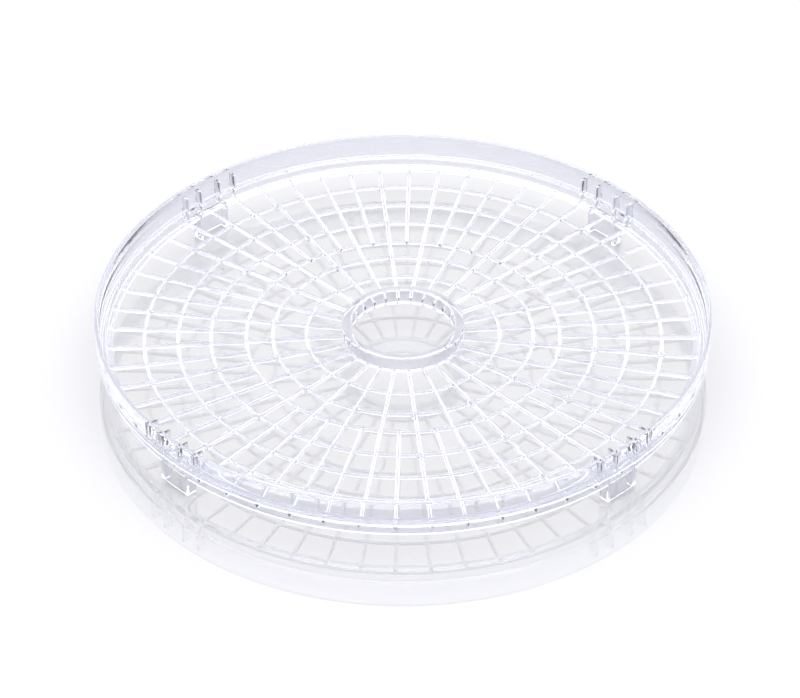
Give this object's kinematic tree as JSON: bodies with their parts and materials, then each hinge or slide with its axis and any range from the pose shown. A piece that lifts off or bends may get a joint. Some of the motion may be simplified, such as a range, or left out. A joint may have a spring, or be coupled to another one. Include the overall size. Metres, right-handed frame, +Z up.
{
  "type": "food dehydrator tray",
  "caption": "Round clear stacking tray of a food dehydrator: a shallow rim, a ringed and spoked grille floor, a central air hole with a collar, ribs and feet for stacking.",
  "frame": {"origin": "on the tray's axis, at the level of the undersides of the feet", "axes": "+Z up along the tray's axis, out of the open side; the four feet lie at 45 degrees between +X and +Y"},
  "size_m": [0.32, 0.32, 0.033],
  "materials": {
    "clear_styrene": "clear, polished mould"
  },
  "bodies": {
    "root": {"rim_wall": "clear_styrene", "stacking_shoulder": "clear_styrene", "stacking_skirt": "clear_styrene", "deck_flange": "clear_styrene", "outer_grille": "clear_styrene", "inner_grille": "clear_styrene", "hub_collar": "clear_styrene", "stacking_ribs_back_right": "clear_styrene", "stacking_ribs_back_left": "clear_styrene", "stacking_ribs_front_left": "clear_styrene", "stacking_ribs_front_right": "clear_styrene", "foot_back_right": "clear_styrene", "foot_back_left": "clear_styrene", "foot_front_left": "clear_styrene", "foot_front_right": "clear_styrene"}
  },
  "joints": []
}
